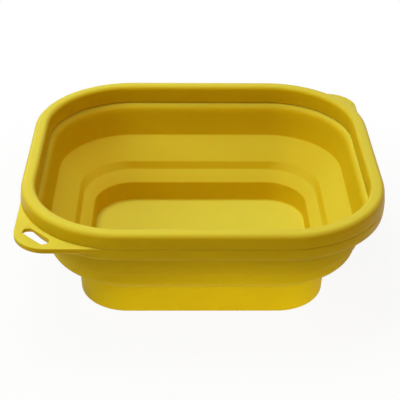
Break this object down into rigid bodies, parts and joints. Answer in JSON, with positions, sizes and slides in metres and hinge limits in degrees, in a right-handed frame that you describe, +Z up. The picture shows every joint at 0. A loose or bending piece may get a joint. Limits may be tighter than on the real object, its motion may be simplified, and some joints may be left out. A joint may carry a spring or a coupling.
{
  "type": "wash tub",
  "caption": "Fold-flat camp wash tub: a soft rounded-rectangular tub whose stepped wall folds down inside a rigid rim with slotted hanging tabs on opposite corners.",
  "frame": {"origin": "middle of the flat underside of the base, on the ground", "axes": "+Z up out of the tub's mouth, +X along the longer side of the rim, +Y towards the back; the hanging tabs are at the -X -Y and +X +Y corners"},
  "size_m": [0.315, 0.285, 0.111],
  "materials": {
    "rim_cap_plastic": "satin mustard yellow, smooth moulded",
    "rim_frame_plastic": "satin mustard yellow, smooth moulded",
    "tub_rubber": "satin mustard yellow soft rubber, smooth moulded"
  },
  "bodies": {
    "base": {"base_pan": "tub_rubber", "fold_wall": "tub_rubber"},
    "rim": {"rim_cap": "rim_cap_plastic", "rim_frame": "rim_frame_plastic", "upper_wall": "tub_rubber"}
  },
  "joints": [
    {"name": "collapse", "type": "slide", "parent": "base", "child": "rim", "axis": [0, 0, 1], "range_m": [-0.056, 0], "deforming": ["fold_wall"]}
  ]
}
